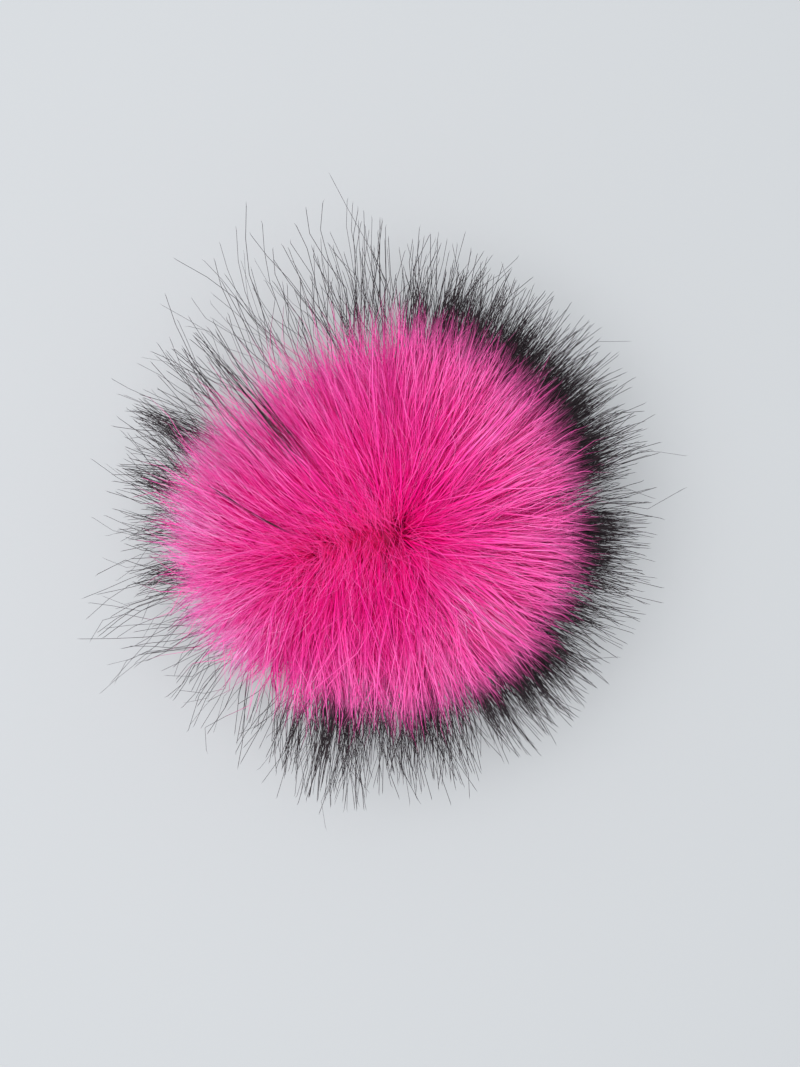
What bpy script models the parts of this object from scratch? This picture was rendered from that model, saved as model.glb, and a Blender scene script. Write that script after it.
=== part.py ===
"""A long-haired faux-fur pom pom, lying on a table with its fur parted at the crown and combed outwards.

The real one is a disc of fur cloth gathered over itself into a small ball, so that its pile stands out all
round. Here it is one solid: the gathered ball, with the pile as separate four-sided locks whose roots are
fused into it. The locks grow in rings. Those near the crown rise, arch over and fall outwards, those at the
side lie out level, and those underneath are shorter and end flat on the table.
Metres, +Z up. The origin is on the table, under the middle of the fur's outline.
"""

import random
from math import cos, exp, pi, radians, sin, sqrt

import bmesh
import bpy
from mathutils import Vector

MM = 0.001

# The gathered ball that the locks are rooted in
BALL_RADIUS = 18 * MM
BALL_HALF_HEIGHT = 17 * MM
BALL_MIDDLE = 37 * MM  # height of its middle above the table
ROOT_SIZE = 2.8 * MM  # corner to corner of a lock's root on the ball

# The pile. A ring's locks share their path, seen from the side of the ball.
# root: degrees down from the crown. locks: how many. out, up: where the tip is, from the ball's axis and the
# table. fall: degrees that the tip points below level. rise: how far the lock stands up off the ball before it
# bends. width: across its widest part. Sizes are in mm. A ring with up 0 ends flat on the table.
RING_COLUMNS = ("root", "locks", "out", "up", "fall", "rise", "width")
RINGS = (
    (0, 1, 16.0, 69.0, 60, 17.0, 11.0),
    (10, 5, 57.0, 59.5, 40, 25.5, 9.5),
    (21, 11, 59.5, 54.0, 37, 22.0, 9.5),
    (32, 16, 62.5, 49.0, 33, 20.0, 8.5),
    (43, 20, 65.5, 43.5, 28, 18.0, 8.5),
    (55, 23, 68.0, 38.0, 23, 17.0, 8.5),
    (67, 26, 69.5, 32.5, 18, 16.0, 8.5),
    (79, 27, 70.5, 26.5, 14, 15.0, 8.5),
    (91, 27, 70.5, 20.5, 11, 14.0, 8.5),
    (103, 26, 69.0, 14.0, 10, 13.0, 8.5),
    (115, 24, 66.0, 7.0, 11, 12.0, 8.0),
    (127, 20, 59.0, 0.0, 20, 11.0, 7.5),
    (140, 15, 45.0, 0.0, 35, 9.0, 6.5),
    (154, 9, 28.0, 0.0, 55, 7.0, 6.0),
    (168, 4, 12.5, 0.0, 80, 6.0, 5.0),
    (180, 1, 0.0, 0.0, 90, 6.0, 7.0),
)
FIRST_LOCK = radians(-90)  # way that the lock in the parting falls
RING_TURN = 0.618  # of the gap between its locks, each ring against the one above, so that none line up
TIP_BEND = 0.45  # how far back from the tip the lock still points as the tip does, as a share of its span

# Where a lock is cut across, as a share of its length, and how wide it is there, as a share of its widest
SECTION_COLUMNS = ("along", "wide")
SECTIONS = (
    (0.22, 0.75),
    (0.48, 1.00),
    (0.76, 0.80),
    (1.00, 0.10),
)
CORNERS = ((-1, 0), (0, -1), (1, 0), (0, 1))  # of a diamond, down the lock's back and across it
THICKNESS = 0.45  # of a lock's width
ROOM_SHARE = 0.78  # of the gap between a ring's locks, the most that a lock fills
FOOT_SHARE = 0.45  # flat end of a lock that stands on the table, corner to corner, as a share of its width
MIDDLE_FOOT_SHARE = 1.0  # the same under the ball's axis

# The unevenness of combed fur, the same each time
LOCK_SEED = 4
SIDEWAYS = 0.09  # of the gap between the locks of a ring
LENGTH_VARIES = 0.05
LIFT_VARIES = 0.8 * MM
WIDTH_VARIES = 0.12
LONGER_LOCKS = 0.10  # share of the locks that stand out further
LONGER_BY = 0.09

# The parting. The crown lies off the outline's middle, and the fur is drawn apart from a short line there.
CROWN_SHIFT = Vector((-4.5 * MM, -7.5 * MM))
CROWN_REACH = 46 * MM  # how far out the shift dies away
PARTING_HALF = 5.5 * MM
PARTING_TURN = radians(10)
PARTING_EASE = 11 * MM

# Finish: acrylic pile, dyed hot pink
PINK = (0.90, 0.02, 0.27, 1.0)
PILE_ROUGHNESS = 0.75

UP = Vector((0, 0, 1))


def clear_scene():
    for obj in list(bpy.data.objects):
        bpy.data.objects.remove(obj)


def named_rows(columns, table):
    return [dict(zip(columns, values)) for values in table]


def on_ball(direction):
    """The point of the ball that lies this way from its middle."""
    return Vector((
        direction.x * BALL_RADIUS,
        direction.y * BALL_RADIUS,
        direction.z * BALL_HALF_HEIGHT + BALL_MIDDLE,
    ))


def spoke(azimuth):
    """Level unit vectors out from the axis at this azimuth, and across it."""
    return Vector((cos(azimuth), sin(azimuth), 0)), Vector((-sin(azimuth), cos(azimuth), 0))


def make_locks():
    """One dictionary for each lock: its ring's values, and its own azimuth, extra length, lift and width."""
    chance = random.Random(LOCK_SEED)
    locks = []
    for number, ring in enumerate(named_rows(RING_COLUMNS, RINGS)):
        gap = 2 * pi / ring["locks"]
        start = FIRST_LOCK + number * RING_TURN * gap
        for place in range(ring["locks"]):
            azimuth = start + gap * (place + chance.uniform(-SIDEWAYS, SIDEWAYS))
            longer = chance.uniform(-LENGTH_VARIES, LENGTH_VARIES)
            if chance.random() < LONGER_LOCKS and ring["locks"] > 1:
                longer += LONGER_BY
            lift = chance.uniform(-LIFT_VARIES, LIFT_VARIES)
            width = ring["width"] * MM * (1 + chance.uniform(-WIDTH_VARIES, WIDTH_VARIES))
            locks.append(dict(ring, azimuth=azimuth, longer=longer, lift=lift, width=width))
    return locks


def root_corners(lock):
    """Four directions from the ball's middle, a small diamond about the lock's root."""
    lean = radians(lock["root"])
    out, across = spoke(lock["azimuth"])
    middle = out * sin(lean) + UP * cos(lean)
    down = out * cos(lean) - UP * sin(lean)
    half = ROOT_SIZE / BALL_RADIUS / 2
    return [(middle + down * (a * half) + across * (b * half)).normalized() for a, b in CORNERS]


def lock_path(lock):
    """Each section's middle, heading and width, on a cubic curve in the lock's own upright plane.

    The curve leaves the ball square to it and comes to the tip along the ring's fall.
    """
    lean = radians(lock["root"])
    fall = radians(lock["fall"])
    out, _ = spoke(lock["azimuth"])
    normal = out * sin(lean) + UP * cos(lean)
    heading = out * cos(fall) - UP * sin(fall)
    root = on_ball(normal)
    tip = out * (lock["out"] * MM) + UP * (lock["up"] * MM)
    if lock["up"] > 0:
        tip += heading * ((tip - root).length * lock["longer"]) + UP * lock["lift"]
    bend_one = root + normal * (lock["rise"] * MM)
    bend_two = tip - heading * (TIP_BEND * (tip - root).length)
    path = []
    for section in named_rows(SECTION_COLUMNS, SECTIONS):
        t = section["along"]
        s = 1 - t
        point = root * s**3 + bend_one * (3 * s * s * t) + bend_two * (3 * s * t * t) + tip * t**3
        way = (bend_one - root) * (s * s) + (bend_two - bend_one) * (2 * s * t) + (tip - bend_two) * (t * t)
        path.append((point, way.normalized(), section["wide"]))
    return path


def section_corners(lock, point, way, wide):
    """A diamond across the lock, no wider than its ring has room for, in the order of root_corners."""
    out, across = spoke(lock["azimuth"])
    width = lock["width"] * wide
    below = across.cross(way) * (width * THICKNESS / 2)
    if lock["out"] > 0:
        room = 2 * pi / lock["locks"] * point.dot(out) * ROOM_SHARE
        width = min(width, room)
    beside = across * (width / 2)
    return [point + below * a + beside * b for a, b in CORNERS]


def foot_corners(lock, point):
    """A level diamond on the table, in the order of root_corners."""
    out, across = spoke(lock["azimuth"])
    half = lock["width"] * (FOOT_SHARE if lock["out"] > 0 else MIDDLE_FOOT_SHARE) / 2
    return [point - out * (half * a) + across * (half * b) for a, b in CORNERS]


def combed(point):
    """A point of an even, round pom pom, moved level to where the parted and combed fur has it."""
    x, y = point.x, point.y
    fade = exp(-(x * x + y * y) / CROWN_REACH**2)
    along = x * cos(PARTING_TURN) + y * sin(PARTING_TURN)
    drawn = PARTING_HALF * along / sqrt(along * along + PARTING_EASE**2) * fade
    x += drawn * cos(PARTING_TURN) + CROWN_SHIFT.x * fade
    y += drawn * sin(PARTING_TURN) + CROWN_SHIFT.y * fade
    return Vector((x, y, point.z))


def open_root(bm, corners):
    """Takes out the ball's two faces inside a lock's root, so that the lock opens into the ball."""
    root = set(corners)
    touching = list(corners[0].link_faces) + list(corners[2].link_faces)
    cover = [face for face in dict.fromkeys(touching) if set(face.verts) <= root]
    bmesh.ops.delete(bm, geom=cover, context="FACES_KEEP_BOUNDARY")


def grow_lock(bm, lock, corners):
    """Carries a lock's root out along its path, and closes its end."""
    path = lock_path(lock)
    for number, (point, way, wide) in enumerate(path):
        on_table = number == len(path) - 1 and lock["up"] == 0
        places = foot_corners(lock, point) if on_table else section_corners(lock, point, way, wide)
        ends = [bm.verts.new(place) for place in places]
        for k in range(4):
            n = (k + 1) % 4
            bm.faces.new((corners[k], corners[n], ends[n], ends[k]))
        corners = ends
    bm.faces.new(corners)


def centre_outline(bm):
    for axis in (0, 1):
        places = [vert.co[axis] for vert in bm.verts]
        middle = (min(places) + max(places)) / 2
        for vert in bm.verts:
            vert.co[axis] -= middle


def make_fur():
    """The ball is the hull of all the roots. Each root is then opened and grown into its lock."""
    bm = bmesh.new()
    locks = make_locks()
    roots = [[bm.verts.new(on_ball(direction)) for direction in root_corners(lock)] for lock in locks]
    bmesh.ops.convex_hull(bm, input=bm.verts)
    for lock, corners in zip(locks, roots):
        open_root(bm, corners)
        grow_lock(bm, lock, corners)
    bmesh.ops.recalc_face_normals(bm, faces=bm.faces)
    for vert in bm.verts:
        vert.co = combed(vert.co)
    centre_outline(bm)
    return bm


def pile_material():
    material = bpy.data.materials.new("dyed_acrylic_pile")
    material.use_nodes = True
    shader = material.node_tree.nodes["Principled BSDF"]
    shader.inputs["Base Color"].default_value = PINK
    shader.inputs["Roughness"].default_value = PILE_ROUGHNESS
    shader.inputs["Metallic"].default_value = 0.0
    return material


def main():
    clear_scene()
    bm = make_fur()
    mesh = bpy.data.meshes.new("pom_pom")
    bm.to_mesh(mesh)
    bm.free()
    mesh.materials.append(pile_material())
    fur = bpy.data.objects.new("pom_pom", mesh)
    bpy.context.scene.collection.objects.link(fur)


main()
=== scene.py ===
"""A hot pink faux-fur pom pom with black-tipped guard hairs, on a pale table and seen from straight above.

Metres, +Z up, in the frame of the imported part. Sizes in mm are turned to metres where they are used.
"""

import bpy
import numpy as np
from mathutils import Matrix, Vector


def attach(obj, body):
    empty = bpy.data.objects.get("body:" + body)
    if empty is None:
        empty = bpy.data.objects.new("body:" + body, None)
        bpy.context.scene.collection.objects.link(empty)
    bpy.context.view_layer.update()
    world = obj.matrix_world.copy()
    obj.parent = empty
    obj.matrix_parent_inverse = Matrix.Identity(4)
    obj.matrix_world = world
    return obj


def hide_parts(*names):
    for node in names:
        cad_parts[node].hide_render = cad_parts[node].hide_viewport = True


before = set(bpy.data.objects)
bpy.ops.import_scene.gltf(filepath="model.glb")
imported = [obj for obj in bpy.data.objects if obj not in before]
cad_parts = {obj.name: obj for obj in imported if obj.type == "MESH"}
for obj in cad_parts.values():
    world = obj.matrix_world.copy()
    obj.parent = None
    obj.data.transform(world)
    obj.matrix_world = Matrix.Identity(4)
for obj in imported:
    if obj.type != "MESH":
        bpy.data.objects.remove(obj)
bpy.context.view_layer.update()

# ---- The gathered backing -------------------------------------------------------------------------------
# The pom pom is a disc of fur cloth. Its knitted polyester backing is gathered by a thread round the edge
# and drawn up into a small ball, pile side out. It hardly shows, only its crown, deep between the hairs.

MM = 0.001
BALL_RADIUS = 18 * MM
BALL_HALF_HEIGHT = 17 * MM
BALL_MIDDLE = 37 * MM  # height above the table

# How far the crown is combed off the middle, level
CROWN_SHIFT = np.array((-2.8, -7.6)) * MM
CROWN_REACH = 46 * MM  # how far out the shift dies away

BACKING_STEPS = (96, 64)  # round the ball, and from its crown to its foot
GATHERS = 14  # soft pleats, drawn in to the foot by the thread
GATHER_DEPTH = 0.5 * MM
COURSE = 1.6 * MM  # height of a row of knitting, drawn twice the real size so that it shows
WAVE_ROW = 0.314  # metres from row to row in a wave texture of scale 1
KNIT_DEPTH = 0.3 * MM
KNIT_PINK = "#D0106C"
# Painted shade for the grooves between the knitted rows
KNIT_GROOVE_SHADE = "#A80A52"


def linear(code):
    """An sRGB hex colour as linear red, green, blue and alpha."""
    srgb = np.array([int(code[k:k + 2], 16) for k in (1, 3, 5)]) / 255
    low = srgb / 12.92
    high = ((srgb + 0.055) / 1.055) ** 2.4
    return (*np.where(srgb <= 0.04045, low, high), 1.0)


def combed(points, shift):
    """Points of an even, round pom pom, moved level by shift * exp(-(r / CROWN_REACH)^2), r from its axis."""
    fade = np.exp(-(points[..., :2] ** 2).sum(-1) / CROWN_REACH**2)[..., None]
    return np.concatenate((points[..., :2] + shift * fade, points[..., 2:]), -1)


def on_ball(ways):
    """Where lines from the ball's middle, along unit vectors, leave its surface."""
    return ways * (BALL_RADIUS, BALL_RADIUS, BALL_HALF_HEIGHT) + (0, 0, BALL_MIDDLE)


def new_piece(name, points, faces):
    """A smooth mesh object of points (n, 3) and triangles (m, 3)."""
    mesh = bpy.data.meshes.new(name)
    mesh.vertices.add(len(points))
    mesh.vertices.foreach_set("co", points.astype(np.float32).ravel())
    mesh.loops.add(faces.size)
    mesh.loops.foreach_set("vertex_index", faces.astype(np.int32).ravel())
    mesh.polygons.add(len(faces))
    mesh.polygons.foreach_set("loop_start", np.arange(0, faces.size, 3, dtype=np.int32))
    mesh.update(calc_edges=True)
    mesh.shade_smooth()
    piece = bpy.data.objects.new(name, mesh)
    bpy.context.scene.collection.objects.link(piece)
    return piece


def add_node(tree, kind, links=(), values=(), **settings):
    """Adds a node. links are (input, output of another node), values (input, number or colour)."""
    node = tree.nodes.new(kind)
    for key, setting in settings.items():
        setattr(node, key, setting)
    for entry, value in values:
        node.inputs[entry].default_value = value
    for entry, output in links:
        tree.links.new(output, node.inputs[entry])
    return node


def new_material(name, colour, roughness):
    """A Principled material, its node tree and its shader node."""
    material = bpy.data.materials.new(name)
    material.use_nodes = True
    shader = material.node_tree.nodes["Principled BSDF"]
    shader.inputs["Base Color"].default_value = linear(colour)
    shader.inputs["Roughness"].default_value = roughness
    return material, material.node_tree, shader


def dress(piece, material):
    """Gives a piece its material, and puts it in the place of the part's solid."""
    piece.data.materials.append(material)
    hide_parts("pom_pom")
    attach(piece, "root")


def unit(vectors):
    return vectors / np.linalg.norm(vectors, axis=-1, keepdims=True)


def ways_out(azimuth, lean):
    """Unit vectors at an azimuth, leaning from straight up."""
    return np.stack((np.sin(lean) * np.cos(azimuth), np.sin(lean) * np.sin(azimuth), np.cos(lean)), -1)


def backing_points():
    """The ball on a grid of azimuth and lean. Its pleats go in by GATHER_DEPTH * cos(GATHERS * azimuth) *
    (lean / pi)^2, so that they are deepest at the foot."""
    round_count, down_count = BACKING_STEPS
    azimuth = np.arange(round_count) * 2 * np.pi / round_count
    lean = np.linspace(0, np.pi, down_count + 1)[1:-1]
    a, b = np.meshgrid(azimuth, lean)
    pleat = 1 + GATHER_DEPTH / BALL_RADIUS * np.cos(GATHERS * a) * (b / np.pi) ** 2
    rows = on_ball(ways_out(a, b) * pleat[..., None]).reshape(-1, 3)
    poles = on_ball(np.array(((0, 0, 1.0), (0, 0, -1.0))))
    return combed(np.concatenate((rows, poles)), CROWN_SHIFT)


def globe_faces(round_count, row_count):
    """Triangles between rows of points that each go round, from the crown down, with a fan at each pole. The
    poles' points come last, crown first."""
    here = np.arange(round_count)
    then = (here + 1) % round_count
    row = np.arange(row_count - 1)[:, None] * round_count
    upper = np.stack((row + here, row + round_count + here, row + round_count + then), -1)
    lower = np.stack((row + here, row + round_count + then, row + then), -1)
    last = round_count * (row_count - 1)
    crown, foot = last + round_count, last + round_count + 1
    top_fan = np.stack((np.full(round_count, crown), here, then), -1)
    foot_fan = np.stack((np.full(round_count, foot), last + then, last + here), -1)
    return np.concatenate((upper.reshape(-1, 3), lower.reshape(-1, 3), top_fan, foot_fan))


# Warp-knitted polyester: matt, dyed with the pile, with rows of loops that the light catches as fine ribs.
# Its colour darkens on the low side of each row: painted shade in the grooves between the ribs
knit, tree, shader = new_material("knitted_polyester", KNIT_PINK, roughness=0.9)
where = add_node(tree, "ShaderNodeTexCoord").outputs["Object"]
loops = add_node(tree, "ShaderNodeTexWave", [("Vector", where)], bands_direction="Z",
                 values=[("Scale", WAVE_ROW / COURSE), ("Distortion", 1.5), ("Detail", 2.0)])
# Painted shade: the wave that raises the ribs also darkens the colour in the grooves between them
tone = add_node(tree, "ShaderNodeValToRGB", [("Fac", loops.outputs["Fac"])])
tone.color_ramp.elements[0].color = linear(KNIT_GROOVE_SHADE)
tone.color_ramp.elements[1].color = linear(KNIT_PINK)
ribs = add_node(tree, "ShaderNodeBump", [("Height", loops.outputs["Fac"])],
                values=[("Strength", 0.6), ("Distance", KNIT_DEPTH)])
tree.links.new(tone.outputs["Color"], shader.inputs["Base Color"])
tree.links.new(ribs.outputs["Normal"], shader.inputs["Normal"])

backing = new_piece("gathered_backing", backing_points(), globe_faces(BACKING_STEPS[0], BACKING_STEPS[1] - 1))
dress(backing, knit)

# ---- The pile's lay -------------------------------------------------------------------------------------
# Acrylic pile is knitted into the backing in small bunches, and combing draws the bunches together in locks.
# Every hair rises square to the ball, bends over and falls outwards; those underneath lie along the table.

# How hairs of one root lean lie when they are combed out: root, the lean of the root from the crown, in
# degrees; out and up, where the tip is from the ball's axis and the table, in mm; fall, degrees that the tip
# points below level; rise, how far the hair stands up off the ball before it bends, in mm; growth, how many
# hairs grow there, fewer underneath where they are hidden
LAY_COLUMNS = ("root", "out", "up", "fall", "rise", "growth")
LAY = dict(zip(LAY_COLUMNS, np.array((
    (0, 55.0, 60.5, 42, 17.0, 7.0),
    (10, 57.0, 58.0, 40, 17.0, 5.0),
    (20, 59.5, 54.0, 37, 17.0, 3.2),
    (32, 62.5, 49.0, 33, 17.0, 2.2),
    (55, 68.0, 38.0, 23, 16.0, 1.5),
    (79, 70.5, 26.5, 14, 15.0, 1.1),
    (103, 69.0, 14.0, 10, 13.0, 1.0),
    (115, 66.0, 7.0, 11, 12.0, 0.9),
    (127, 59.0, 0.0, 20, 11.0, 0.7),
    (140, 45.0, 0.0, 35, 9.0, 0.5),
    (154, 28.0, 0.0, 55, 7.0, 0.35),
    (180, 0.0, 0.0, 90, 6.0, 0.3),
)).T))
TIP_BEND = 0.45  # how far back from the tip a hair still points as the tip does, as a share of its span
ROOT_DEPTH = 2.0 * MM  # how deep in the gathered ball a hair is drawn from
TABLE_EASE = 0.3 * MM  # how softly a hair that meets the table turns along it

# Hairs at the crown start from two whorls and from a short ridge between them, by the azimuth that they fall
# along. Those that fall to the front start from a little behind the ridge, and so lie down across it. x and
# y, where they start; pit, how far they open there at most, which leaves a hole in a whorl; all in mm
START_COLUMNS = ("azimuth", "x", "y", "pit")
STARTS = dict(zip(START_COLUMNS, np.array((
    (-78, 5.5, -5.0, 1.7), (112, 5.5, -5.0, 1.7), (130, 1.0, -5.2, 0.5), (150, -6.0, -7.4, 0.5),
    (166, -11.2, -8.8, 2.4), (238, -11.2, -8.8, 2.4), (250, -7.5, -5.6, 0.5), (264, -2.5, -3.6, 0.5))).T))
PIT_SHARES = (0.4, 1)  # shares of the pit that hairs open by

# Combing isn't even. How far the values of hairs stray by chance from the lay, where stray is 1
TURN_STRAYS = np.radians(3)
CROWN_STRAYS = np.radians(6)  # more, for hairs rooted at the crown, which lie on top
CROWN_LEAN = np.radians(12)  # how far from the crown this dies away
START_STRAYS = 0.7 * MM
START_MOST = 2  # the furthest that a start strays, in START_STRAYS
REACH_STRAYS = 0.03
LIFT_STRAYS = 0.9 * MM
SWAY_STRAYS = np.array((2.5, 0.6, 0.6)) * MM
SWAY_MOST = 1.6  # the furthest that a sway strays, in SWAY_STRAYS
SWAY_WAVES = 2.2  # along a full hair
SWAY_EASE = 0.25  # share of the full lay by which the waves are at their full size
# How strongly combing has drawn the fur together in locks, by azimuth: most in front, where gaps show
LOCKED_COLUMNS = ("azimuth", "share")
LOCKED = dict(zip(LOCKED_COLUMNS, np.array((
    (-90, 0.95), (-30, 0.70), (10, 0.60), (60, 0.45), (90, 0.30), (140, 0.40), (180, 0.60), (220, 0.85))).T))
RELIEF_CELLS = (7, 84)  # high and low places of the combed surface, from crown to foot and round the ball
RELIEF = 1.6 * MM
CLUMPS = 44  # the locks' tips round the ball lean together in as many clumps
CLUMP_STRAYS = 0.35  # of the gap between two clumps
CLUMPED = 0.7  # share of the way that a tip leans to the middle of its clump, where LOCKED's share is 1
BIG_LOCKS = 300  # a dozen locks to each
BIG_SHARE = 0.9  # how far a big lock draws its locks, against how far a lock draws its hairs
BIG_STRAY = 1.8
FALL_LEAN = np.radians(15)  # locks join as if rooted this much lower, so that all of a big lock fall one way
DRAWN_BY = 0.62  # share of the full lay by which a hair is fully drawn to its locks
LOCKS = 3600
LOCK_TURN = 1.0  # radians from the first big lock to the first lock
LOCK_STRAY = 0.9
LOCK_SCATTER = 0.02  # of the locks' roots, an angle
LEAN_STEPS = 721  # from crown to foot, at which the growth is added up
SEED = 11

chance = np.random.default_rng(SEED)
relief_table = chance.normal(0, 1, RELIEF_CELLS)
clump_azimuth = (np.arange(CLUMPS) + chance.uniform(-CLUMP_STRAYS, CLUMP_STRAYS, CLUMPS)) * 2 * np.pi / CLUMPS


def bell(shape, most=np.inf):
    """Random numbers on a bell curve of spread 1, none further out than most."""
    return np.clip(chance.normal(0, 1, shape), -most, most)


def locked_share(azimuth):
    return np.interp(np.degrees(azimuth), LOCKED["azimuth"], LOCKED["share"], period=360)


def relief(azimuth, lean):
    """Heights read from relief_table, azimuth along its rows and lean down them. Between entries a value goes
    over by 3 f^2 - 2 f^3, f being the share of the way."""
    rows, cells = RELIEF_CELLS
    x = azimuth / (2 * np.pi) * cells
    y = np.clip(lean / np.pi * (rows - 1), 0, rows - 1.001)  # short of the last row, as j + 1 is read too
    i, j = np.floor(x).astype(int), np.floor(y).astype(int)
    f, g = x - i, y - j
    f, g = f * f * (3 - 2 * f), g * g * (3 - 2 * g)
    upper = relief_table[j, i % cells] * (1 - f) + relief_table[j, (i + 1) % cells] * f
    lower = relief_table[j + 1, i % cells] * (1 - f) + relief_table[j + 1, (i + 1) % cells] * f
    return RELIEF * locked_share(azimuth) * (upper * (1 - g) + lower * g)


def starts(azimuth):
    """Where the hairs that fall along each azimuth start, level, instead of at the axis."""
    degrees = np.degrees(azimuth)
    return np.stack([np.interp(degrees, STARTS["azimuth"], STARTS[c], period=360) for c in "xy"], -1) * MM


def even_hairs(azimuth, lean):
    """Hairs that lie just as the lay says: an array for each of azimuth, the way that it falls; lean, of the
    root; start, how far off its place it starts; reach, which lengthens its span; lift, of its tip; and sway,
    the sizes of its bend and of two waves to the side."""
    count = len(azimuth)
    return {"azimuth": azimuth, "lean": lean, "start": np.zeros((count, 2)), "reach": np.ones(count),
            "lift": relief(azimuth, lean), "sway": np.zeros((count, 3))}


def picked(hairs, which):
    return {name: values[which] for name, values in hairs.items()}


def strayed(hairs, scatter, stray):
    """The same hairs with each value moved by chance, stray times as far as its STRAYS says, and the roots
    spread by the angle scatter."""
    count = len(hairs["lean"])
    far = np.broadcast_to(stray, count)
    each = far[:, None]
    turn = TURN_STRAYS + CROWN_STRAYS * np.exp(-(hairs["lean"] / CROWN_LEAN) ** 2)
    turned = turn * far * bell(count) + scatter * bell(count)
    return {
        "azimuth": hairs["azimuth"] + turned,
        "lean": np.clip(np.abs(hairs["lean"] + scatter * bell(count)), 0, np.pi),
        "start": hairs["start"] + START_STRAYS * each * bell((count, 2), START_MOST),
        "reach": hairs["reach"] * (1 + REACH_STRAYS * far * bell(count)),
        "lift": hairs["lift"] + LIFT_STRAYS * far * bell(count),
        "sway": hairs["sway"] + SWAY_STRAYS * each * bell((count, 3), SWAY_MOST),
    }


def clumped(hairs):
    """The same hairs, turned so that their tips lean together."""
    off = (clump_azimuth - hairs["azimuth"][:, None] + np.pi) % (2 * np.pi) - np.pi
    off = np.take_along_axis(off, np.abs(off).argmin(1)[:, None], 1)[:, 0]
    return dict(hairs, azimuth=hairs["azimuth"] + off * locked_share(hairs["azimuth"]) * CLUMPED)


def spread_hairs(count, turn):
    """Even hairs over the ball, by the golden angle, as close together as LAY's growth has them."""
    lean = np.radians(np.linspace(0, 180, LEAN_STEPS))
    total = np.cumsum(np.interp(np.degrees(lean), LAY["root"], LAY["growth"]) * np.sin(lean))
    leans = np.interp((np.arange(count) + 0.5) / count, total / total[-1], lean)
    return even_hairs((np.arange(count) * np.pi * (3 - np.sqrt(5)) + turn) % (2 * np.pi), leans)


def ways_along(azimuth):
    """Level unit vectors, two numbers each, at an azimuth."""
    return np.stack((np.cos(azimuth), np.sin(azimuth)), -1)


def hair_lines(hairs, along):
    """Middle lines of hairs, (hairs, steps, 3), on an even ball, before they are gathered and combed.

    A line is the cubic from the root R, by the handles R + rise * normal and T - TIP_BEND * span * heading,
    to the tip T. Past along = 1 it goes straight on. It is moved sideways by sway's sizes of along^2 and of
    the sine and the cosine of 2 pi SWAY_WAVES along.
    """
    lean = np.degrees(hairs["lean"])
    out, up, fall, rise = (np.interp(lean, LAY["root"], LAY[c])[:, None] for c in LAY_COLUMNS[1:5])
    level = ways_along(hairs["azimuth"])
    normal = ways_out(hairs["azimuth"], hairs["lean"])
    fall = np.radians(fall)
    heading = np.concatenate((level * np.cos(fall), -np.sin(fall)), 1)
    root = on_ball(normal) - normal * ROOT_DEPTH
    tip = np.concatenate((level * out, up), 1) * MM
    span = np.linalg.norm(tip - root, axis=1, keepdims=True)
    tip = tip + heading * span * (hairs["reach"][:, None] - 1)
    tip[:, 2] += hairs["lift"]
    bend_one = root + normal * rise * MM
    bend_two = tip - heading * TIP_BEND * span
    t = np.minimum(along, 1)[..., None]
    s = 1 - t
    points = (s**3 * root[:, None] + 3 * s * s * t * bend_one[:, None] + 3 * s * t * t * bend_two[:, None]
              + t**3 * tip[:, None])
    points += 3 * (tip - bend_two)[:, None] * (along[..., None] - t)
    turned = 2 * np.pi * SWAY_WAVES * along
    begun = np.minimum(along / SWAY_EASE, 1)
    shapes = np.stack((along**2, begun * np.sin(turned), begun * np.cos(turned)), -1)
    swayed = (shapes * hairs["sway"][:, None]).sum(-1)[..., None]
    points[..., :2] += swayed * ways_along(hairs["azimuth"] + np.pi / 2)[:, None]
    return points


def laid_on_table(points):
    """Heights z become (z + sqrt(z^2 + 4 TABLE_EASE^2)) / 2, so that no hair goes below the table."""
    z = points[..., 2:]
    return np.concatenate((points[..., :2], (z + np.sqrt(z * z + 4 * TABLE_EASE**2)) / 2), -1)


big_locks = strayed(spread_hairs(BIG_LOCKS, 0.0), 0.0, BIG_STRAY)
lock_hairs = strayed(spread_hairs(LOCKS, LOCK_TURN), LOCK_SCATTER, LOCK_STRAY)
lock_ways = ways_out(lock_hairs["azimuth"], lock_hairs["lean"] + FALL_LEAN)
lock_big = np.argmax(lock_ways @ ways_out(big_locks["azimuth"], big_locks["lean"] + FALL_LEAN).T, 1)
big_lift = big_locks["lift"] - relief(big_locks["azimuth"], big_locks["lean"])
lock_hairs["lift"] = lock_hairs["lift"] + big_lift[lock_big]
lock_azimuth = np.degrees((lock_hairs["azimuth"] + np.pi) % (2 * np.pi) - np.pi)
lock_lean = np.degrees(lock_hairs["lean"])
lock_share = locked_share(lock_hairs["azimuth"])
lock_hairs = clumped(lock_hairs)
big_locks = clumped(big_locks)


def lay_of(locks):
    """The hairs that stand for these locks, and those that stand for their big locks."""
    return picked(lock_hairs, locks), picked(big_locks, lock_big[locks])


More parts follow.
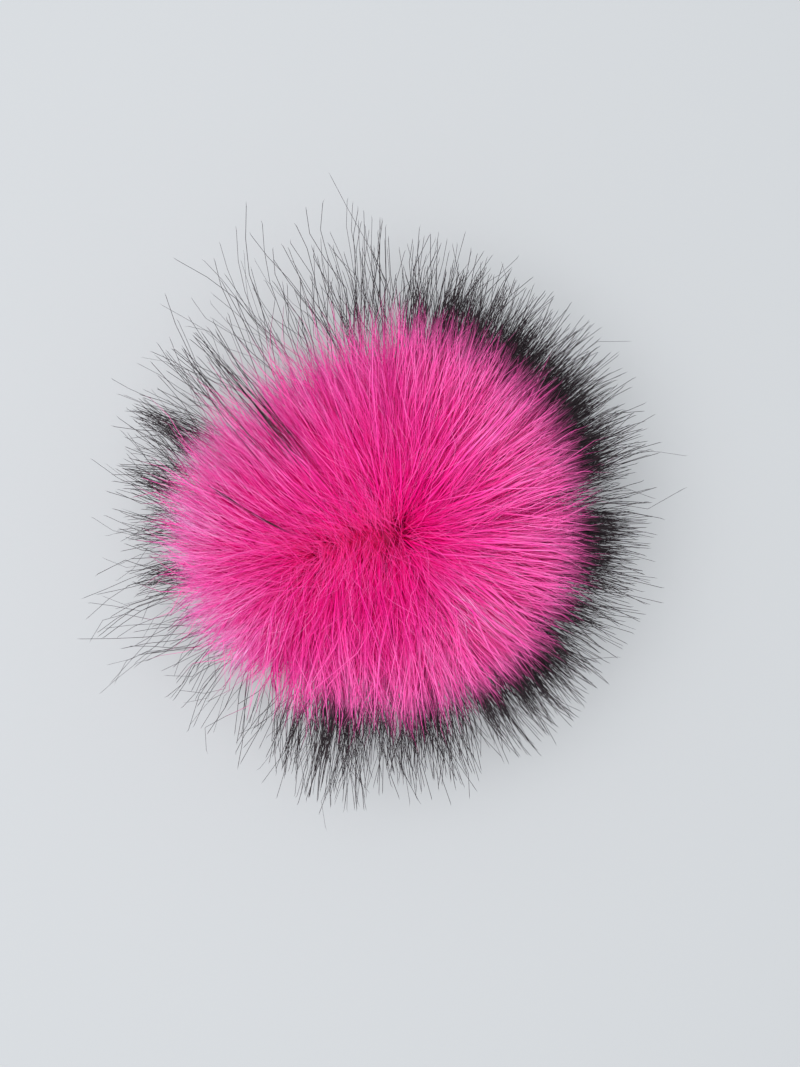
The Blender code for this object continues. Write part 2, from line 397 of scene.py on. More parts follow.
def grown(lock, big, share, length, steps, scatter, stray, kink=0.0, sunk=0.0):
    """Hair lines rooted round those of lock, one for each entry, combed and laid on the table.

    length is the share of the full lay that a hair reaches, and steps the shares of it where it has points.
    drawn = along / DRAWN_BY, 1 at most. A line is drawn towards its lock's by share * drawn, and then towards
    its big lock's by BIG_SHARE * share * drawn^2. scatter, an angle, spreads the roots, and stray makes each
    hair differ from its lock. kink is the size of the crimp at each point, and sunk the share of the way to
    the ball's middle that the hair lies deeper. Last, a hair is moved to where those of its azimuth start.
    """
    count = len(length)
    along = length[:, None] * steps
    hairs = strayed(lock, scatter, stray)
    points = hair_lines(hairs, along)
    drawn = np.clip(along / DRAWN_BY, 0, 1)[..., None]
    share = share[:, None, None]
    points += (hair_lines(lock, along) - points) * share * drawn
    points += (hair_lines(big, along) - points) * BIG_SHARE * share * drawn**2
    points += kink * bell(points.shape) * drawn
    points += ((0, 0, BALL_MIDDLE) - points) * sunk
    pit = np.interp(np.degrees(hairs["azimuth"]), STARTS["azimuth"], STARTS["pit"], period=360) * MM
    opened = (pit * chance.uniform(*PIT_SHARES, count))[:, None] * ways_along(hairs["azimuth"])
    shift = starts(hairs["azimuth"]) + hairs["start"] + opened
    return laid_on_table(combed(points, shift[:, None]))


def hair_tubes(lines, width, depth, taper):
    """Closed tubes round hair lines: a triangle at each step but the last, a cap, and a tip.

    The triangle at each step is width * taper across and depth * taper deep. Returns points, faces, and the
    faces of one tube.
    """
    count, steps, _ = lines.shape
    # The tiny amounts keep every way and side from having no length
    way = unit(np.gradient(lines, axis=1) + 1e-9)
    side = unit(np.stack((-way[..., 1], way[..., 0] + 1e-6, np.zeros(way.shape[:2])), -1))
    above = np.cross(side, way)
    turn = np.pi / 2 + np.arange(3) * 2 * np.pi / 3
    across = (width[:, None] * taper / 2)[..., None, None] * np.cos(turn)[:, None] * side[:, :, None]
    deep = (depth[:, None] * taper / 2)[..., None, None] * np.sin(turn)[:, None] * above[:, :, None]
    rings = (lines[:, :, None] + across + deep)[:, :-1].reshape(count, -1, 3)
    points = np.concatenate((rings, lines[:, -1:]), 1)
    a = np.arange(3)
    b = (a + 1) % 3
    ring = 3 * np.arange(steps - 2)[:, None]
    one = np.stack((ring + a, ring + b, ring + 3 + b), -1).reshape(-1, 3)
    two = np.stack((ring + a, ring + 3 + b, ring + 3 + a), -1).reshape(-1, 3)
    last = 3 * (steps - 2)
    tip = np.stack((last + a, last + b, np.full(3, last + 3)), -1)
    tube = np.concatenate((one, two, tip, ((0, 2, 1),)))
    faces = (tube + np.arange(count)[:, None, None] * points.shape[1]).reshape(-1, 3)
    return points.reshape(-1, 3), faces, tube


MAP_LAY = 1.25  # share of the full lay at the top edge of the map


def add_map(piece, u, v):
    """Lays a piece's corners on the map that its colours are read from."""
    chart = piece.data.uv_layers.new(name="OFBake")
    chart.data.foreach_set("uv", np.stack((u, v), -1).astype(np.float32).ravel())


def hair_piece(name, lines, share, steps, width, depth, taper, strip, shade, material):
    """Hairs as one piece. Its map OFBake holds each hair as a narrow upright strip: u starts at the hair's
    shade, and v goes from 0 to share, of the full lay, over MAP_LAY."""
    points, faces, tube = hair_tubes(lines, width, depth, np.interp(steps, *taper))
    piece = new_piece(name, points, faces)
    height = np.append(np.repeat(steps[:-1], 3), 1.0)
    corner = np.append(np.tile((0.5, 0.0, 1.0), len(steps) - 1), 0.5)
    v = (share[:, None] / MAP_LAY * height[tube].ravel()).ravel()
    u = (shade[:, None] * (1 - strip) + strip * corner[tube].ravel()).ravel()
    add_map(piece, u, v)
    dress(piece, material)


FIBRE_SPECULAR = 0.06
# The noise that makes hairs darker and paler, and its values for the darkest and for the palest
BAND_NOISE = (("Scale", 0.2), ("Detail", 3.0), ("Roughness", 0.7), ("Distortion", 0.4))
BAND_RANGE = (("From Min", 0.36), ("From Max", 0.68))
# Each set of four colours runs deeper at the root: partly the dye, partly painted shade down in the pile
# where the roots lie
SHADED_DYE_AT = (0.10, 0.28, 0.46, 0.67)  # shares of the full lay where a hair has its four colours


def fibre_dye_and_shade(name, deep, pale, roughness, streak, glint_flecks=60.0):
    """A material for hairs on their OFBake map, and its tree, shader, map parts, colour output and noise.

    deep and pale are the colours at SHADED_DYE_AT of the darkest and the palest hairs, deeper towards the
    root, partly as painted shade deep in the pile. Noise says where between the two a hair is. Its cells are
    5 * streak of the map wide and 5 / flecks of it high, with finer ones within; along a hair they make light
    and dark flecks, painted glints on its crimp.
    """
    material, tree, shader = new_material(name, deep[1], roughness)
    shader.inputs["Specular IOR Level"].default_value = FIBRE_SPECULAR
    chart = add_node(tree, "ShaderNodeUVMap", uv_map="OFBake").outputs["UV"]
    parts = add_node(tree, "ShaderNodeSeparateXYZ", [("Vector", chart)])
    # Along a hair the noise's cells are short flecks, lighter and darker: painted glints on its crimp
    stretch = add_node(tree, "ShaderNodeMapping", [("Vector", chart)], [("Scale", (1 / streak, glint_flecks, 1.0))])
    bands = add_node(tree, "ShaderNodeTexNoise", [("Vector", stretch.outputs["Vector"])], BAND_NOISE,
                     noise_dimensions="2D")
    share = add_node(tree, "ShaderNodeMapRange", [("Value", bands.outputs["Fac"])], BAND_RANGE)
    colours = []
    for codes in (deep, pale):
        ramp = add_node(tree, "ShaderNodeValToRGB", [("Fac", parts.outputs["Y"])])
        stops = ramp.color_ramp.elements
        stops[0].position, stops[1].position = SHADED_DYE_AT[0] / MAP_LAY, SHADED_DYE_AT[3] / MAP_LAY
        stops[0].color, stops[1].color = linear(codes[0]), linear(codes[3])
        stops.new(SHADED_DYE_AT[1] / MAP_LAY).color = linear(codes[1])
        stops.new(SHADED_DYE_AT[2] / MAP_LAY).color = linear(codes[2])
        colours.append(ramp.outputs["Color"])
    dyed = add_node(tree, "ShaderNodeMixRGB", [("Fac", share.outputs["Result"]), ("Color1", colours[0]),
                                               ("Color2", colours[1])])
    tree.links.new(dyed.outputs["Color"], shader.inputs["Base Color"])
    return material, tree, shader, parts, dyed.outputs["Color"], bands


# ---- The under-fur --------------------------------------------------------------------------------------
# Most of the pile is fine crimped acrylic, dyed hot pink all through and shorter than the guard hairs. Deep
# down it packs together in one soft mass, and over that lie fine pointed tufts and single hairs.

# Rows of the mass, from crown to foot: root lean of the hairs that it follows, in degrees; share of the full
# lay where it crosses them; and share of the lay that its dye is of, kept short of where it crosses them, so
# that the mass is deeper in colour than the hairs there: painted shade deep in the pile
MASS_COLUMNS = ("lean", "along", "dye")
MASS = dict(zip(MASS_COLUMNS, np.array((
    (22, 0.02, 0.03), (22, 0.08, 0.07), (22, 0.15, 0.12), (22, 0.22, 0.17), (22, 0.29, 0.21),
    (22, 0.35, 0.25), (24, 0.40, 0.28), (28, 0.43, 0.31), (34, 0.45, 0.33), (41, 0.46, 0.35),
    (48, 0.46, 0.36), (58, 0.46, 0.38), (70, 0.46, 0.40), (82, 0.46, 0.42), (95, 0.45, 0.42),
    (108, 0.43, 0.42), (121, 0.43, 0.42), (134, 0.47, 0.42), (147, 0.55, 0.42), (165, 0.68, 0.42))).T))
# At its crown pole the mass takes its deepest colour: painted shade down among the roots
POLE_SHADE_DYES = (0.0, 0.55)  # the last of these, at the crown and the foot of the mass
# What the second of these is multiplied by, by azimuth: least in front, where gaps show between the locks
MASS_REACH = np.array(((-90, 0.74), (-30, 0.80), (10, 0.86), (90, 0.84), (160, 0.84), (200, 0.82),
                       (230, 0.78))).T
MASS_ROUND = 720  # azimuths
MASS_RAGGED = 0.05  # how unevenly it ends: the spread of chance added to that, from azimuth to azimuth
SIDE_LEANS = (40, 75)  # degrees from the crown where the shoulder and the sides begin
TUFTS_PER_LOCK = np.array((1, 2, 5))  # on top, on the shoulder and down the sides
TUFT_STEPS = np.array((0, 0.35, 0.6, 0.82, 1.0))
TUFT_TAPER = ((0, 0.3, 0.6, 0.82, 1), (0.75, 1.0, 0.85, 0.45, 0.1))  # shares of the length, and of the width
TUFT_LENGTH = (0.42, 0.66)  # of the full lay
TUFT_WIDTH = (0.25, 0.7)  # mm
TUFT_DEPTH = 0.3  # of its width
TUFT_STRIP = 0.02  # width of a tuft's strip on its map
TUFT_HABIT = dict(scatter=0.04, stray=0.5, sunk=0.015)  # what each of these means, grown says
CRIMPED_PER_LOCK = np.array((5, 5, 2))
CRIMPED_STEPS = np.array((0, 0.35, 0.55, 0.72, 0.87, 1.0))
CRIMPED_HABIT = dict(scatter=0.05, stray=1.2, kink=0.35 * MM, sunk=-0.01)
HAIR_TAPER = ((0, 0.5, 1), (1.0, 0.9, 0.3))  # as TUFT_TAPER
CRIMPED_LENGTH = (0.30, 0.70)
UNDERFUR_WIDTH = (0.07, 0.13)  # mm
HAIR_STRIP = 0.006  # width of a single hair's strip on its map
# How far the under-fur reaches, by azimuth, against its lengths
REACH_AZIMUTHS = np.array(((-110, 1.0), (-90, 0.95), (-70, 1.0), (-40, 0.93), (0, 0.92), (40, 0.92),
                           (70, 1.0), (250, 1.0))).T
# Colours at SHADED_DYE_AT of the darkest and of the palest hairs
# The mass's colours are deeper than the hairs' below: painted shade for the depths of the pile, seen in the
# gaps between locks
MASS_SHADED_DEEP = ("#A80048", "#B80060", "#C00A70", "#CC3890")
MASS_SHADED_PALE = ("#C00054", "#E01078", "#E83094", "#F070B8")
# How pale the under-fur is, by azimuth: where on its dye's range a share of the lay falls, against that
# share.
# Its high values on the left are painted light, as from a lamp on that side, and its low value in front is
# painted shade, where the fur hangs over its own shadow
SIDE_LIGHT_PALER = np.array(((-110, 0.96), (-90, 0.86), (-70, 0.95), (-45, 1.12), (-20, 1.08), (0, 1.03), (30, 0.96),
                  (60, 0.9), (90, 0.88), (140, 1.0), (165, 1.12), (190, 1.14), (225, 1.08))).T
UNDERFUR_DEEP = ("#DC006C", "#DA0474", "#E21C8C", "#E85CB4")
UNDERFUR_PALE = ("#FF1082", "#FC2698", "#FC60B8", "#F8B8E4")

# Dyed acrylic: smooth clear fibre, so light passes from hair to hair and even the depths stay strongly pink.
# The mass is coloured deeper than the hairs, as painted shade in those depths.
# The bands on the mass and on a tuft stand for their single hairs, drawn about 0.2 mm wide so that they show.
shaded_mass_fibre, tree, shader, *_, bands = fibre_dye_and_shade("acrylic_mass_dye_and_shade", MASS_SHADED_DEEP, MASS_SHADED_PALE, roughness=0.8,
                                                 streak=0.0007, glint_flecks=24.0)
grooves = add_node(tree, "ShaderNodeBump", [("Height", bands.outputs["Fac"])],
                   values=[("Strength", 0.5), ("Distance", 0.4 * MM)])
tree.links.new(grooves.outputs["Normal"], shader.inputs["Normal"])
underfur_fibre, *_ = fibre_dye_and_shade("dyed_acrylic_hair", UNDERFUR_DEEP, UNDERFUR_PALE, roughness=0.6,
                                streak=0.005)


def mass_points():
    """The surface across the lay's hairs where each row of MASS meets them, on a grid of MASS_ROUND azimuths
    and MASS's rows, with its two poles last."""
    azimuth = np.arange(MASS_ROUND) * 2 * np.pi / MASS_ROUND
    reach = np.interp(np.degrees(azimuth), *MASS_REACH, period=360)
    reach = reach + chance.normal(0, MASS_RAGGED, MASS_ROUND)
    rows = []
    for lean, along in zip(MASS["lean"], MASS["along"]):
        hairs = even_hairs(azimuth, np.full(MASS_ROUND, np.radians(lean)))
        rows.append(hair_lines(hairs, (along * reach)[:, None])[:, 0])
    rows = np.array(rows)
    rows = laid_on_table(combed(rows, starts(azimuth)))
    poles = rows[[0, -1]].mean(1)
    return np.concatenate((rows.reshape(-1, 3), poles))


mass = new_piece("underfur_mass", mass_points(), globe_faces(MASS_ROUND, len(MASS["lean"])))
corners = np.empty(len(mass.data.loops), dtype=np.int32)
mass.data.loops.foreach_get("vertex_index", corners)
u = corners % MASS_ROUND / MASS_ROUND
v = np.append(np.repeat(MASS["dye"], MASS_ROUND), POLE_SHADE_DYES)[corners] / MAP_LAY
# A triangle across the seam has its low corners moved up to the map's right edge
sides = u.reshape(-1, 3)
sides = np.where((sides.max(1, keepdims=True) - sides > 0.5) & (sides < 0.5), sides + 1, sides)
add_map(mass, sides.ravel(), v)
dress(mass, shaded_mass_fibre)

# How much longer or shorter the under-fur of each big lock is, where LOCKED's share is 1
LONGER = 0.10
LONGER_LIMITS = (-0.2, 0.12)
big_longer = np.clip(chance.normal(0, LONGER, BIG_LOCKS), *LONGER_LIMITS)

# Raised locks are paler and sunken ones deeper, by this share for each step of RELIEF: painted light on the
# high places and painted shade in the low ones
RELIEF_LIGHT_PALER = 0.15
RELIEF_LIGHT_MOST = 1.5  # steps
lock_relief = relief(np.radians(lock_azimuth), np.radians(lock_lean)) / RELIEF
lock_high = np.clip(lock_relief, -RELIEF_LIGHT_MOST, RELIEF_LIGHT_MOST)

# Hairs of one big lock are much alike in tone, as their shades on the map are close together
LOCK_TONE = 0.005
HAIR_TONE = 0.005
lock_shade = np.clip(chance.random(BIG_LOCKS)[lock_big] + chance.normal(0, LOCK_TONE, LOCKS), 0, 1)


def hair_shade(locks):
    return np.clip(lock_shade[locks] + chance.normal(0, HAIR_TONE, len(locks)), 0, 1)


def dye_and_light_share(locks, length):
    """The share of the lay that a hair's colour is read at, at its tip: its dye, made paler or deeper by
    painted light and shade, by azimuth and by the relief.
    """
    paler = np.interp(lock_azimuth[locks], *SIDE_LIGHT_PALER, period=360)
    return length * paler * (1 + RELIEF_LIGHT_PALER * lock_high[locks])


def underfur_length(locks, shares):
    """Shares of the full lay that hairs of these locks reach."""
    reach = np.interp(lock_azimuth[locks], *REACH_AZIMUTHS, period=360)
    longer = lock_share[locks] * big_longer[lock_big[locks]]
    return chance.uniform(*shares, len(locks)) * reach * (1 + longer)


# The pile is made in four quarters, so that each piece stays light: one to each side of the ball
QUARTERS = ("right", "back", "left", "front")
lock_quarter = np.floor((lock_azimuth + 45) / 90).astype(int) % 4
lock_side = np.digitize(lock_lean, SIDE_LEANS)
for number, quarter in enumerate(QUARTERS):
    quarter_locks = np.flatnonzero(lock_quarter == number)
    locks = np.repeat(quarter_locks, TUFTS_PER_LOCK[lock_side[quarter_locks]])
    length = underfur_length(locks, TUFT_LENGTH)
    lines = grown(*lay_of(locks), lock_share[locks], length, TUFT_STEPS, **TUFT_HABIT)
    width = chance.uniform(*TUFT_WIDTH, len(locks)) * MM
    hair_piece("tufts_" + quarter, lines, dye_and_light_share(locks, length), TUFT_STEPS, width, width * TUFT_DEPTH,
               TUFT_TAPER, TUFT_STRIP, hair_shade(locks), underfur_fibre)

    locks = np.repeat(quarter_locks, CRIMPED_PER_LOCK[lock_side[quarter_locks]])
    length = underfur_length(locks, CRIMPED_LENGTH)
    share = lock_share[locks] * np.sqrt(chance.random(len(locks)))
    lines = grown(*lay_of(locks), share, length, CRIMPED_STEPS, **CRIMPED_HABIT)
    width = chance.uniform(*UNDERFUR_WIDTH, len(locks)) * MM
    hair_piece("crimped_hairs_" + quarter, lines, dye_and_light_share(locks, length), CRIMPED_STEPS, width, width,
               HAIR_TAPER, HAIR_STRIP, hair_shade(locks), underfur_fibre)

# Hairs that have worked loose show their crimp and lie over the rest, most of them at the crown
LOOSE_HAIRS = 1300
LOOSE_STEPS = np.append(0, np.linspace(0.25, 1, 11))
LOOSE_LENGTH = (0.20, 0.55)
LOOSE_WIDTH = (0.08, 0.13)  # mm
LOOSE_LEAN = 14  # degrees, how far from the crown they thin out
LOOSE_ELSEWHERE = 0.15  # how thick they grow further out, against the crown
LOOSE_HABIT = dict(scatter=0.06, stray=3.0, kink=0.3 * MM, sunk=-0.03)
# They lie free and catch the light, so their colours are made paler: painted highlights
LOOSE_LIT_DEEP = ("#FF0C86", "#FA289C", "#FF50B0", "#FF84C8")
LOOSE_LIT_PALE = ("#FF3CA0", "#FF62B8", "#FF90CC", "#FFBCE0")
loose_lit_fibre, *_ = fibre_dye_and_shade("loose_acrylic_hair_painted_light", LOOSE_LIT_DEEP, LOOSE_LIT_PALE, roughness=0.5, streak=0.006)
crowned = np.exp(-(lock_lean / LOOSE_LEAN) ** 2) + LOOSE_ELSEWHERE
locks = chance.choice(LOCKS, LOOSE_HAIRS, p=crowned / crowned.sum())
length = chance.uniform(*LOOSE_LENGTH, LOOSE_HAIRS)
lines = grown(*lay_of(locks), np.zeros(LOOSE_HAIRS), length, LOOSE_STEPS, **LOOSE_HABIT)
width = chance.uniform(*LOOSE_WIDTH, LOOSE_HAIRS) * MM
hair_piece("loose_hairs", lines, length, LOOSE_STEPS, width, width, HAIR_TAPER, HAIR_STRIP,
           chance.random(LOOSE_HAIRS), loose_lit_fibre)

# Short hairs stand up along the ridge between the whorls and soften it
FILL_STEPS = np.linspace(0, 1, 5)
FILL_HAIRS = 1200
FILL_LEAN = 10  # degrees from the crown that they grow in
FILL_FALLS = ((140, 22), (-101, 18))  # azimuths that they fall along, give or take
FILL_LENGTH = (0.20, 0.42)
FILL_HABIT = dict(scatter=0.06, stray=2.5, kink=0.3 * MM)
falls = np.any([np.abs(lock_azimuth - middle) < half for middle, half in FILL_FALLS], 0)
locks = chance.choice(np.flatnonzero((lock_lean < FILL_LEAN) & falls), FILL_HAIRS)
length = chance.uniform(*FILL_LENGTH, FILL_HAIRS)
lines = grown(*lay_of(locks), np.zeros(FILL_HAIRS), length, FILL_STEPS, **FILL_HABIT)
width = chance.uniform(*UNDERFUR_WIDTH, FILL_HAIRS) * MM
# The fill hairs take the loose hairs' paler colours too: painted light that keeps them bright where they
# stand up in their own shade
hair_piece("crown_fill", lines, length, FILL_STEPS, width, width, HAIR_TAPER, HAIR_STRIP,
           hair_shade(locks), loose_lit_fibre)

# ---- The guard hairs ------------------------------------------------------------------------------------
# Longer, coarser acrylic hairs stand out past the under-fur. They are dyed pink and then tipped black, which
# makes the dark fringe. It is thick on the right and thin, in a few tufts, on the upper left.

GUARD_HAIRS = 4700
GUARD_STEPS = np.array((0, 0.4, 0.65, 0.84, 0.985, 1.0))  # close together at the blunt end
GUARD_TAPER = ((0, 0.6, 1), (0.9, 1.0, 0.8))
GUARD_LENGTH = (0.68, 1.04)
GUARD_SHORTER = 1.8  # over 1, so that few are as long as the longest
GUARD_WIDTH = (0.12, 0.18)  # mm
GUARD_SCATTER = 0.05  # of the roots, an angle
GUARD_DRAWN = (0.2, 1)  # how far they are drawn to their locks, against the under-fur
GUARD_SUNK = 0.015
# How thick the guard hairs grow, by azimuth and by root lean, and how unruly they are: how far they stray
GUARD_COLUMNS = ("azimuth", "growth", "unruly")
GUARD_TABLE = dict(zip(GUARD_COLUMNS, np.array((
    (-112, 0.15, 3.5), (-97, 0.6, 3.0), (-85, 0.45, 3.0), (-72, 0.6, 2.5), (-55, 1.1, 2.2),
    (-35, 1.3, 2.0), (-25, 0.9, 2.0), (-18, 0.35, 2.2), (-11, 1.7, 1.8), (-3, 1.5, 1.8), (6, 0.35, 2.2),
    (16, 1.3, 2.0), (32, 1.7, 1.8), (60, 1.3, 2.0), (75, 0.7, 2.5), (90, 0.16, 3.0), (115, 0.05, 3.5),
    (135, 0.05, 3.5), (146, 0.07, 3.5), (175, 0.07, 3.5), (197, 0.07, 3.5), (206, 0.03, 3.5),
    (240, 0.04, 3.5))).T))
GUARD_LEANS = np.array(((0, 0.25), (25, 0.4), (45, 1.0), (105, 1.0), (118, 0.2), (135, 0.0))).T
# Colours at SHADED_DYE_AT, as above
GUARD_DEEP = ("#E00070", "#E80C80", "#F02894", "#F050A8")
GUARD_PALE = ("#F01C88", "#F43098", "#F850A8", "#F478BC")
TIP_BLACK = "#30282C"
BLACK_FROM = (0.25, 0.95)  # share of the full lay where the black begins, from shade 0 to shade 1
BLACK_EASE = (-0.04, 0.07)  # how softly it begins, up the map
BLACK_OUT = ((10, 60), (0.78, 0.62))  # root leans in degrees, and where on the full lay it begins there
BLACK_STRAYS = 0.025  # of the full lay

# Guard hairs are coarser and smoother than the under-fur, so they shine more
guard_fibre, tree, shader, parts, pink, _ = fibre_dye_and_shade("tipped_acrylic_guard_hair", GUARD_DEEP, GUARD_PALE,
                                                       roughness=0.45, streak=0.006)
start = add_node(tree, "ShaderNodeMapRange", [("Value", parts.outputs["X"])],
                 values=[("To Min", BLACK_FROM[0] / MAP_LAY), ("To Max", BLACK_FROM[1] / MAP_LAY)])
past = add_node(tree, "ShaderNodeMath", [(0, parts.outputs["Y"]), (1, start.outputs["Result"])],
                operation="SUBTRACT")
dipped = add_node(tree, "ShaderNodeMapRange", [("Value", past.outputs["Value"])],
                  values=[("From Min", BLACK_EASE[0]), ("From Max", BLACK_EASE[1])])
tipped = add_node(tree, "ShaderNodeMixRGB", [("Fac", dipped.outputs["Result"]), ("Color1", pink)],
                  [("Color2", linear(TIP_BLACK))])
tree.links.new(tipped.outputs["Color"], shader.inputs["Base Color"])


def black_shade(begins):
    """The shade at which a hair's black begins near this share of the full lay."""
    begins = begins + chance.normal(0, BLACK_STRAYS, len(begins))
    return np.clip((begins - BLACK_FROM[0]) / (BLACK_FROM[1] - BLACK_FROM[0]), 0, 1)


def black_out(locks):
    return np.interp(lock_lean[locks], *BLACK_OUT)


growth = np.interp(lock_azimuth, GUARD_TABLE["azimuth"], GUARD_TABLE["growth"], period=360)
growth *= np.interp(lock_lean, *GUARD_LEANS)
guard_locks = chance.choice(LOCKS, GUARD_HAIRS, p=growth / growth.sum())
for number, quarter in enumerate(QUARTERS):
    locks = guard_locks[lock_quarter[guard_locks] == number]
    count = len(locks)
    length = np.interp(chance.random(count) ** GUARD_SHORTER, (0, 1), GUARD_LENGTH)
    unruly = np.interp(lock_azimuth[locks], GUARD_TABLE["azimuth"], GUARD_TABLE["unruly"], period=360)
    share = lock_share[locks] * chance.uniform(*GUARD_DRAWN, count)
    lines = grown(*lay_of(locks), share, length, GUARD_STEPS, GUARD_SCATTER, unruly, sunk=GUARD_SUNK)
    width = chance.uniform(*GUARD_WIDTH, count) * MM
    hair_piece("guard_hairs_" + quarter, lines, length, GUARD_STEPS, width, width, GUARD_TAPER, HAIR_STRIP,
               black_shade(black_out(locks)), guard_fibre)

# Where they grow thick, the finer ones hold together in pointed tufts
GUARD_TUFTS = 2800
GUARD_TUFT_LENGTH = (0.70, 0.93)
GUARD_TUFT_WIDTH = (0.3, 0.9)  # mm
GUARD_TUFT_HABIT = dict(scatter=0.04, stray=1.2, sunk=0.02)
locks = chance.choice(LOCKS, GUARD_TUFTS, p=growth**2 / (growth**2).sum())
length = chance.uniform(*GUARD_TUFT_LENGTH, GUARD_TUFTS)
lines = grown(*lay_of(locks), lock_share[locks], length, TUFT_STEPS, **GUARD_TUFT_HABIT)
width = chance.uniform(*GUARD_TUFT_WIDTH, GUARD_TUFTS) * MM
hair_piece("guard_tufts", lines, length, TUFT_STEPS, width, width * TUFT_DEPTH, TUFT_TAPER, HAIR_STRIP,
           black_shade(black_out(locks)), guard_fibre)

# Bundles of guard hairs that hang together and lie where combing left them: the azimuth that they fall along
# and the lean of the root, in degrees; how many hairs; the longest one's share of the full lay; the share
# where the black begins; unruly, as above; over, how far they lie out over the rest, as a share of the way
# from the ball's middle. The one that lies furthest over the rest is a dark line at the left whorl.
BUNDLE_COLUMNS = ("azimuth", "lean", "hairs", "length", "black", "unruly", "over")
BUNDLES = dict(zip(BUNDLE_COLUMNS, np.array((
    (71, 55, 30, 0.92, 0.58, 1.0, 0.03), (80, 60, 16, 1.00, 0.62, 2.0, 0.03),
    (92, 60, 12, 1.08, 0.60, 2.0, 0.03), (100, 62, 12, 1.12, 0.58, 2.5, 0.03),
    (107, 56, 12, 1.10, 0.54, 2.5, 0.03), (115, 58, 10, 1.08, 0.56, 2.5, 0.03),
    (125, 60, 7, 1.10, 0.56, 2.5, 0.03), (134, 16, 14, 0.98, 0.38, 0.9, 0.03),
    (140, 18, 4, 0.90, 0.40, 0.8, 0.03), (159, 2, 4, 0.66, 0.22, 0.1, 0.10),
    (140, 66, 20, 1.00, 0.56, 2.5, 0.03), (150, 78, 90, 0.92, 0.54, 2.4, 0.03),
    (157, 88, 24, 0.94, 0.56, 3.0, 0.03), (169, 82, 80, 0.88, 0.54, 2.4, 0.03),
    (181, 85, 50, 0.88, 0.54, 2.4, 0.03), (194, 92, 60, 0.89, 0.56, 1.8, 0.03),
    (203, 84, 12, 1.04, 0.60, 3.0, 0.03), (211, 92, 12, 1.02, 0.60, 3.0, 0.03),
    (226, 90, 12, 1.00, 0.60, 3.0, 0.03), (240, 80, 14, 1.00, 0.60, 3.0, 0.03),
    (251, 72, 30, 0.98, 0.60, 2.0, 0.03), (253, 84, 18, 1.06, 0.64, 1.6, 0.03),
    (258, 48, 40, 1.04, 0.50, 0.8, 0.03), (261, 70, 20, 1.08, 0.56, 2.0, 0.03),
    (266, 66, 36, 1.06, 0.55, 1.8, 0.03), (275, 70, 34, 1.04, 0.54, 2.4, 0.03),
    (284, 66, 36, 1.02, 0.56, 2.2, 0.03))).T))
BUNDLE_SCATTER = 0.015  # of the roots, an angle, where unruly is 1
BUNDLE_STRAY = 0.25  # how far a whole bundle strays, and below, each of its hairs, where unruly is 1
BUNDLE_HAIR_STRAY = 0.4
BUNDLE_KINK = 0.1 * MM
BUNDLE_SHORTEST = 0.78  # of its longest hair
BUNDLE_DRAWN = (0, 0.4)  # how far its hairs are drawn together
BUNDLE_TURN = np.radians(3.5)  # its hairs come from as far round, where unruly is 1
BUNDLE_CROSS = 80 * MM  # bend to the side for each radian of that turn, so that they cross out at the fringe
BUNDLE_STEPS = np.array((0, 0.3, 0.5, 0.6, 0.7, 0.8, 0.9, 0.985, 1.0))
bundles = even_hairs(np.radians(BUNDLES["azimuth"]), np.radians(BUNDLES["lean"]))
which = np.repeat(np.arange(len(BUNDLES["hairs"])), BUNDLES["hairs"].astype(int))
bundles = strayed(bundles, 0.0, BUNDLE_STRAY * BUNDLES["unruly"])
lock = picked(bundles, which)
length = BUNDLES["length"][which] * chance.uniform(BUNDLE_SHORTEST, 1, len(which))
unruly = BUNDLES["unruly"][which]
turn = BUNDLE_TURN * unruly * bell(len(which))
lock["azimuth"] = lock["azimuth"] + turn
lock["sway"] = lock["sway"] - BUNDLE_CROSS * turn[:, None] * (1, 0, 0)
share = chance.uniform(*BUNDLE_DRAWN, len(which))
lines = grown(lock, lock, share, length, BUNDLE_STEPS, BUNDLE_SCATTER * unruly, BUNDLE_HAIR_STRAY * unruly,
              kink=BUNDLE_KINK, sunk=-BUNDLES["over"][which][:, None, None])
width = chance.uniform(*GUARD_WIDTH, len(which)) * MM
hair_piece("guard_bundles", lines, length, BUNDLE_STEPS, width, width, GUARD_TAPER, HAIR_STRIP,
           black_shade(BUNDLES["black"][which]), guard_fibre)

# Single long hairs stray past the fringe, mostly where it is thin
STRAY_HAIRS = 110
STRAY_LENGTH = (0.88, 1.06)
STRAY_WIDTH = (0.08, 0.13)  # mm
STRAY_HABIT = dict(scatter=0.05, stray=3.0)
STRAY_GROWTH = np.array(((-100, 1.2), (-60, 0.8), (-20, 0.5), (60, 0.6), (95, 1.6), (125, 2.0), (160, 1.5),
                         (200, 1.6), (235, 1.4))).T
growth = np.interp(lock_azimuth, *STRAY_GROWTH, period=360) * np.interp(lock_lean, *GUARD_LEANS)
locks = chance.choice(LOCKS, STRAY_HAIRS, p=growth / growth.sum())
length = chance.uniform(*STRAY_LENGTH, STRAY_HAIRS)
lines = grown(*lay_of(locks), np.zeros(STRAY_HAIRS), length, BUNDLE_STEPS, **STRAY_HABIT)
width = chance.uniform(*STRAY_WIDTH, STRAY_HAIRS) * MM
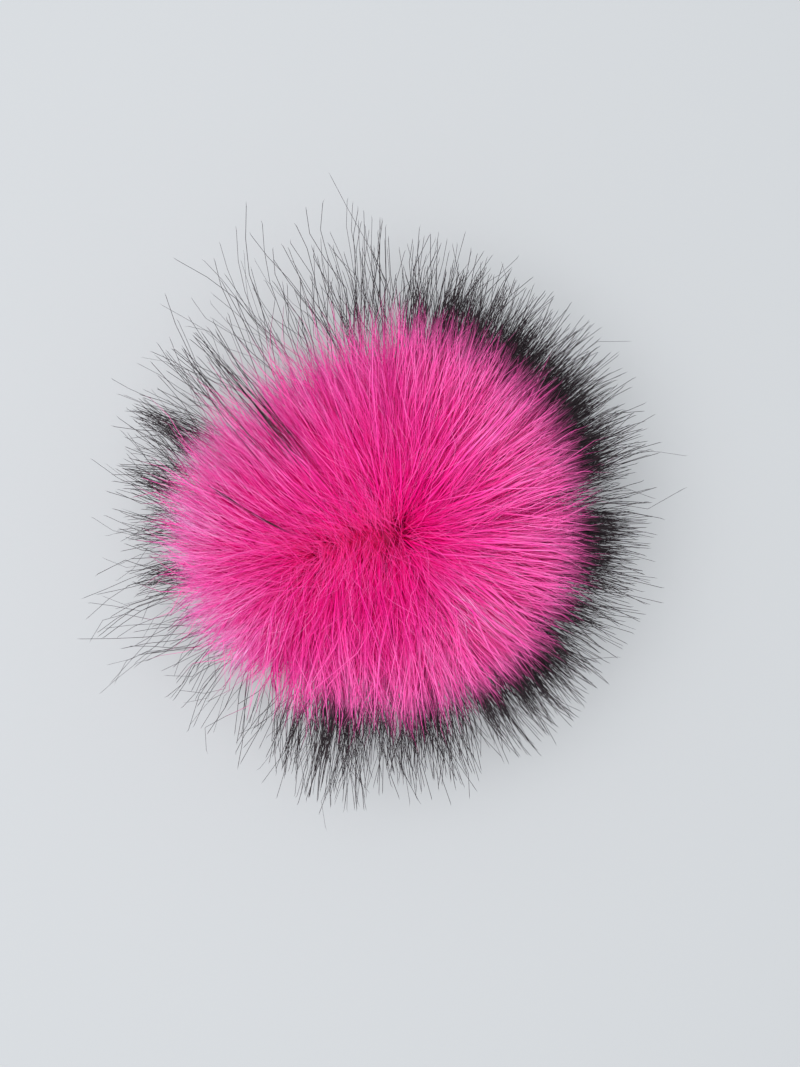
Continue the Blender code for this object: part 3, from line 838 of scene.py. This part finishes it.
hair_piece("stray_hairs", lines, length, BUNDLE_STEPS, width, width, GUARD_TAPER, HAIR_STRIP,
           black_shade(black_out(locks)), guard_fibre)

# ---- The table, light and camera ------------------------------------------------------------------------
# A plain pale table, a bright even room, a broad soft lamp overhead and a little to the left, and a camera
# that looks straight down.

FLOOR_HALF = 3.0
FLOOR_GREY = "#ACAEB0"
floor = new_piece("table", np.array(((-1, -1, 0), (1, -1, 0), (1, 1, 0), (-1, 1, 0.0))) * FLOOR_HALF,
                  np.array(((0, 1, 2), (0, 2, 3))))
paint, *_ = new_material("matt_paint", FLOOR_GREY, roughness=0.8)
floor.data.materials.append(paint)

ROOM_COLOUR = (0.92, 0.96, 1.0, 1.0)
ROOM_STRENGTH = 0.68
world = bpy.data.worlds.new("room")
world.use_nodes = True
world.node_tree.nodes["Background"].inputs["Color"].default_value = ROOM_COLOUR
world.node_tree.nodes["Background"].inputs["Strength"].default_value = ROOM_STRENGTH
bpy.context.scene.world = world

LAMP_PLACE = (-0.15, 0.0, 1.0)
LAMP_SIZE = 1.2
LAMP_WATTS = 14.0
lamp = bpy.data.objects.new("window", bpy.data.lights.new("window", "AREA"))
lamp.data.shape = "DISK"
lamp.data.size = LAMP_SIZE
lamp.data.energy = LAMP_WATTS
lamp.location = LAMP_PLACE
lamp.rotation_euler = (-Vector(LAMP_PLACE)).to_track_quat("-Z", "Y").to_euler()
bpy.context.scene.collection.objects.link(lamp)

CAMERA_PLACE = (6.4 * MM, -4.7 * MM, 290 * MM)
CAMERA_LENS = 35  # mm
CAMERA_NEAR = 10 * MM  # it sees nothing closer
camera = bpy.data.objects.new("camera", bpy.data.cameras.new("camera"))
camera.data.lens = CAMERA_LENS
camera.data.clip_start = CAMERA_NEAR
camera.location = CAMERA_PLACE
bpy.context.scene.collection.objects.link(camera)
bpy.context.scene.camera = camera
bpy.context.scene.view_settings.view_transform = "Standard"
# Many bounces, as light goes deep between the hairs and comes back pink
bpy.context.scene.cycles.diffuse_bounces = 12
bpy.context.scene.cycles.max_bounces = 16
